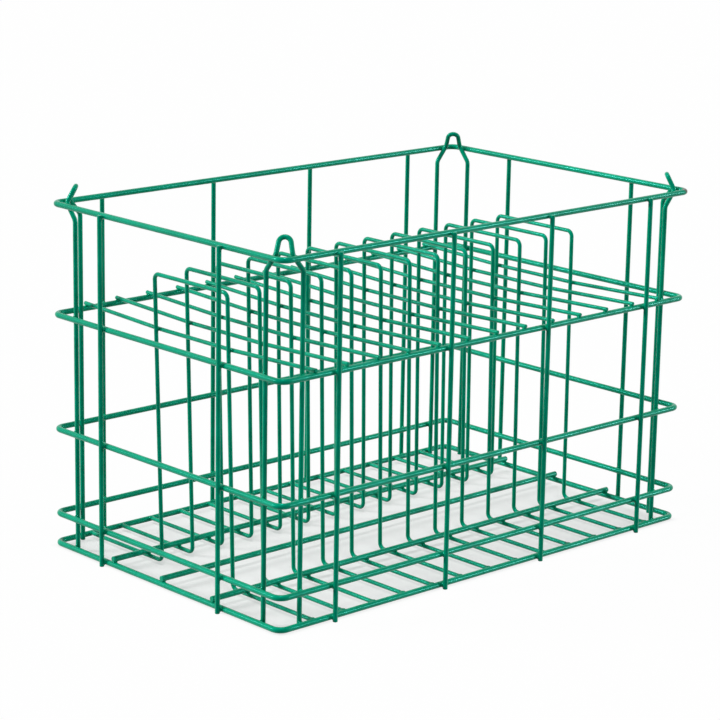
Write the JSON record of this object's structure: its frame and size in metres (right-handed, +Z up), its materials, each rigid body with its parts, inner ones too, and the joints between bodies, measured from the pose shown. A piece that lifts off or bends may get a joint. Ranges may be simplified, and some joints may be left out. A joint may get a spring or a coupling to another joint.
{
  "type": "plate rack",
  "caption": "Open rectangular plate rack of welded coated steel wire, with top-hat dividers, floor rods, side hoops, uprights and corner posts with stacking loops.",
  "frame": {"origin": "middle of the rack's footprint, on the ground under the uprights' feet", "axes": "+X along the rack's long side, +Y across it towards the rear, +Z up"},
  "size_m": [0.4756, 0.3016, 0.3123],
  "materials": {
    "green_coated_wire": "steel wire dip-coated in smooth, slightly glossy green vinyl"
  },
  "bodies": {
    "root": {"top_rim": "green_coated_wire", "upper_hoop": "green_coated_wire", "middle_hoop": "green_coated_wire", "lower_hoop": "green_coated_wire", "base_hoop": "green_coated_wire", "corner_post_1": "green_coated_wire", "corner_post_2": "green_coated_wire", "corner_post_3": "green_coated_wire", "corner_post_4": "green_coated_wire", "front_upright_1": "green_coated_wire", "front_upright_2": "green_coated_wire", "front_upright_3": "green_coated_wire", "front_upright_4": "green_coated_wire", "rear_upright_1": "green_coated_wire", "rear_upright_2": "green_coated_wire", "rear_upright_3": "green_coated_wire", "rear_upright_4": "green_coated_wire", "left_end_upright_1": "green_coated_wire", "left_end_upright_2": "green_coated_wire", "right_end_upright_1": "green_coated_wire", "right_end_upright_2": "green_coated_wire", "divider_1": "green_coated_wire", "divider_2": "green_coated_wire", "divider_3": "green_coated_wire", "divider_4": "green_coated_wire", "divider_5": "green_coated_wire", "divider_6": "green_coated_wire", "divider_7": "green_coated_wire", "divider_8": "green_coated_wire", "divider_9": "green_coated_wire", "divider_10": "green_coated_wire", "divider_11": "green_coated_wire", "divider_12": "green_coated_wire", "divider_13": "green_coated_wire", "cross_wire_1": "green_coated_wire", "cross_wire_2": "green_coated_wire", "cross_wire_3": "green_coated_wire", "cross_wire_4": "green_coated_wire", "cross_wire_5": "green_coated_wire", "cross_wire_6": "green_coated_wire", "cross_wire_7": "green_coated_wire", "cross_wire_8": "green_coated_wire", "cross_wire_9": "green_coated_wire", "cross_wire_10": "green_coated_wire", "cross_wire_11": "green_coated_wire", "cross_wire_12": "green_coated_wire", "cross_wire_13": "green_coated_wire", "floor_rod_1": "green_coated_wire", "floor_rod_2": "green_coated_wire", "floor_rod_3": "green_coated_wire"}
  },
  "joints": []
}
